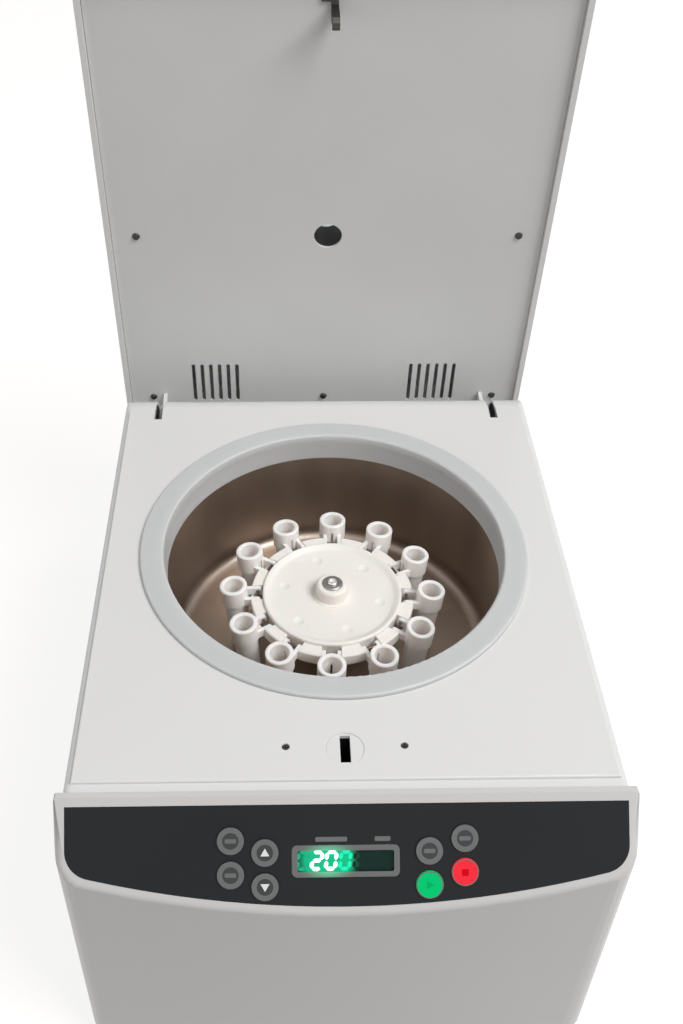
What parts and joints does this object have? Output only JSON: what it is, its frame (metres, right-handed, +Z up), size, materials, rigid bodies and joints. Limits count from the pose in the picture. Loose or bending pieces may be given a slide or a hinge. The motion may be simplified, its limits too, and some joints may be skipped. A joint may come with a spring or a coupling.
{
  "type": "bench centrifuge",
  "caption": "Bench centrifuge with a hinged lid, a stainless bowl, a swing-out tube rotor, a sloping control panel and an electric lid lock.",
  "frame": {"origin": "on the rotor axis, at the bench surface under the feet", "axes": "+Z up along the rotor axis, +X to the right seen from the front, -Y towards the front where the control panel is"},
  "size_m": [0.317, 0.4595, 0.5458],
  "materials": {
    "painted_sheet": "satin",
    "white_moulding": "satin",
    "liner_sheet": "fine grain",
    "overlay_film": "satin",
    "key_grey": "matt",
    "key_green": "matt",
    "key_red": "matt",
    "lens": "clear",
    "display": "matt",
    "circuit_board": "satin",
    "black_moulding": "matt",
    "rubber": "matt",
    "silicone": "satin",
    "stainless": "turned",
    "plated_steel": "plated",
    "dark_steel": "blackened",
    "motor_paint": "satin",
    "ivory": "smooth moulded",
    "sight_glass": "clear"
  },
  "bodies": {
    "base": {"base_pan": "plated_steel", "rubber_feet": "rubber", "outer_casing": "painted_sheet", "casing_screws": "dark_steel", "top_deck": "white_moulding", "front_bezel": "white_moulding", "control_overlay": "overlay_film", "display_lens": "lens", "display_module": "display", "latch_escutcheon": "white_moulding", "lock_screws": "dark_steel", "lock_housing": "black_moulding", "bowl": "stainless", "bowl_gasket": "silicone", "hinge_brackets": "plated_steel", "hinge_pins": "dark_steel", "motor_plate": "plated_steel", "motor_dampers": "rubber", "motor_housing": "motor_paint", "motor_bearings": "plated_steel", "shaft_boot": "rubber", "control_board": "circuit_board", "power_board": "circuit_board", "power_inlet": "black_moulding", "switch_housing": "black_moulding"},
    "lid": {"lid_shell": "white_moulding", "lid_liner": "liner_sheet", "liner_screws": "dark_steel", "sight_bezel": "black_moulding", "sight_glass": "sight_glass", "latch_hook": "dark_steel", "hinge_arms": "painted_sheet"},
    "rotor": {"drive_shaft": "plated_steel", "rotor_hub": "ivory", "rotor_disc": "ivory", "rotor_washer": "dark_steel", "rotor_screw": "plated_steel", "pivot_pins": "plated_steel"},
    "bolt": {"lock_bolt": "plated_steel"},
    "rocker": {"rocker": "black_moulding"},
    "key_set": {"key_set": "key_grey"},
    "key_mode": {"key_mode": "key_grey"},
    "key_up": {"key_up": "key_grey"},
    "key_down": {"key_down": "key_grey"},
    "key_lid": {"key_lid": "key_grey"},
    "key_start": {"key_start": "key_green"},
    "key_pulse": {"key_pulse": "key_grey"},
    "key_stop": {"key_stop": "key_red"},
    "sleeve_01": {"tube_sleeve_01": "ivory"},
    "sleeve_02": {"tube_sleeve_02": "ivory"},
    "sleeve_03": {"tube_sleeve_03": "ivory"},
    "sleeve_04": {"tube_sleeve_04": "ivory"},
    "sleeve_05": {"tube_sleeve_05": "ivory"},
    "sleeve_06": {"tube_sleeve_06": "ivory"},
    "sleeve_07": {"tube_sleeve_07": "ivory"},
    "sleeve_08": {"tube_sleeve_08": "ivory"},
    "sleeve_09": {"tube_sleeve_09": "ivory"},
    "sleeve_10": {"tube_sleeve_10": "ivory"},
    "sleeve_11": {"tube_sleeve_11": "ivory"},
    "sleeve_12": {"tube_sleeve_12": "ivory"}
  },
  "joints": [
    {"name": "lid_hinge", "type": "hinge", "parent": "base", "child": "lid", "pos_m": [0, 0.1605, 0.196], "axis": [1, 0, 0], "range_deg": [0, 84.66]},
    {"name": "rotor_spin", "type": "hinge", "parent": "base", "child": "rotor", "pos_m": [0, 0, 0.19], "axis": [0, 0, 1], "continuous": true},
    {"name": "lock_slide", "type": "slide", "parent": "base", "child": "bolt", "axis": [1, 0, 0], "range_m": [0, 0.0074], "stiffness_N_per_m": 150, "springref_m": -0.004},
    {"name": "power_switch", "type": "hinge", "parent": "base", "child": "rocker", "pos_m": [0.052, 0.174, 0.061], "axis": [1, 0, 0], "range_deg": [0, 20]},
    {"name": "key_set_press", "type": "slide", "parent": "base", "child": "key_set", "axis": [0, 0.7431, -0.6691], "range_m": [0, 0.0008], "stiffness_N_per_m": 500, "springref_m": -0.0006},
    {"name": "key_mode_press", "type": "slide", "parent": "base", "child": "key_mode", "axis": [0, 0.7431, -0.6691], "range_m": [0, 0.0008], "stiffness_N_per_m": 500, "springref_m": -0.0006},
    {"name": "key_up_press", "type": "slide", "parent": "base", "child": "key_up", "axis": [0, 0.7431, -0.6691], "range_m": [0, 0.0008], "stiffness_N_per_m": 500, "springref_m": -0.0006},
    {"name": "key_down_press", "type": "slide", "parent": "base", "child": "key_down", "axis": [0, 0.7431, -0.6691], "range_m": [0, 0.0008], "stiffness_N_per_m": 500, "springref_m": -0.0006},
    {"name": "key_lid_press", "type": "slide", "parent": "base", "child": "key_lid", "axis": [0, 0.7431, -0.6691], "range_m": [0, 0.0008], "stiffness_N_per_m": 500, "springref_m": -0.0006},
    {"name": "key_start_press", "type": "slide", "parent": "base", "child": "key_start", "axis": [0, 0.7431, -0.6691], "range_m": [0, 0.0008], "stiffness_N_per_m": 500, "springref_m": -0.0006},
    {"name": "key_pulse_press", "type": "slide", "parent": "base", "child": "key_pulse", "axis": [0, 0.7431, -0.6691], "range_m": [0, 0.0008], "stiffness_N_per_m": 500, "springref_m": -0.0006},
    {"name": "key_stop_press", "type": "slide", "parent": "base", "child": "key_stop", "axis": [0, 0.7431, -0.6691], "range_m": [0, 0.0008], "stiffness_N_per_m": 500, "springref_m": -0.0006},
    {"name": "sleeve_01_swing", "type": "hinge", "parent": "rotor", "child": "sleeve_01", "pos_m": [0.02754, 0.0434, 0.182], "axis": [0.8443, -0.5358, 0], "range_deg": [0, 55]},
    {"name": "sleeve_02_swing", "type": "hinge", "parent": "rotor", "child": "sleeve_02", "pos_m": [0.04555, 0.02381, 0.182], "axis": [0.4633, -0.8862, 0], "range_deg": [0, 55]},
    {"name": "sleeve_03_swing", "type": "hinge", "parent": "rotor", "child": "sleeve_03", "pos_m": [0.05135, -0.00215, 0.182], "axis": [-0.0419, -0.9991, 0], "range_deg": [0, 55]},
    {"name": "sleeve_04_swing", "type": "hinge", "parent": "rotor", "child": "sleeve_04", "pos_m": [0.0434, -0.02754, 0.182], "axis": [-0.5358, -0.8443, 0], "range_deg": [0, 55]},
    {"name": "sleeve_05_swing", "type": "hinge", "parent": "rotor", "child": "sleeve_05", "pos_m": [0.02381, -0.04555, 0.182], "axis": [-0.8862, -0.4633, 0], "range_deg": [0, 55]},
    {"name": "sleeve_06_swing", "type": "hinge", "parent": "rotor", "child": "sleeve_06", "pos_m": [-0.00215, -0.05135, 0.182], "axis": [-0.9991, 0.0419, 0], "range_deg": [0, 55]},
    {"name": "sleeve_07_swing", "type": "hinge", "parent": "rotor", "child": "sleeve_07", "pos_m": [-0.02754, -0.0434, 0.182], "axis": [-0.8443, 0.5358, 0], "range_deg": [0, 55]},
    {"name": "sleeve_08_swing", "type": "hinge", "parent": "rotor", "child": "sleeve_08", "pos_m": [-0.04555, -0.02381, 0.182], "axis": [-0.4633, 0.8862, 0], "range_deg": [0, 55]},
    {"name": "sleeve_09_swing", "type": "hinge", "parent": "rotor", "child": "sleeve_09", "pos_m": [-0.05135, 0.00215, 0.182], "axis": [0.0419, 0.9991, 0], "range_deg": [0, 55]},
    {"name": "sleeve_10_swing", "type": "hinge", "parent": "rotor", "child": "sleeve_10", "pos_m": [-0.0434, 0.02754, 0.182], "axis": [0.5358, 0.8443, 0], "range_deg": [0, 55]},
    {"name": "sleeve_11_swing", "type": "hinge", "parent": "rotor", "child": "sleeve_11", "pos_m": [-0.02381, 0.04555, 0.182], "axis": [0.8862, 0.4633, 0], "range_deg": [0, 55]},
    {"name": "sleeve_12_swing", "type": "hinge", "parent": "rotor", "child": "sleeve_12", "pos_m": [0.00215, 0.05135, 0.182], "axis": [0.9991, -0.0419, 0], "range_deg": [0, 55]}
  ]
}
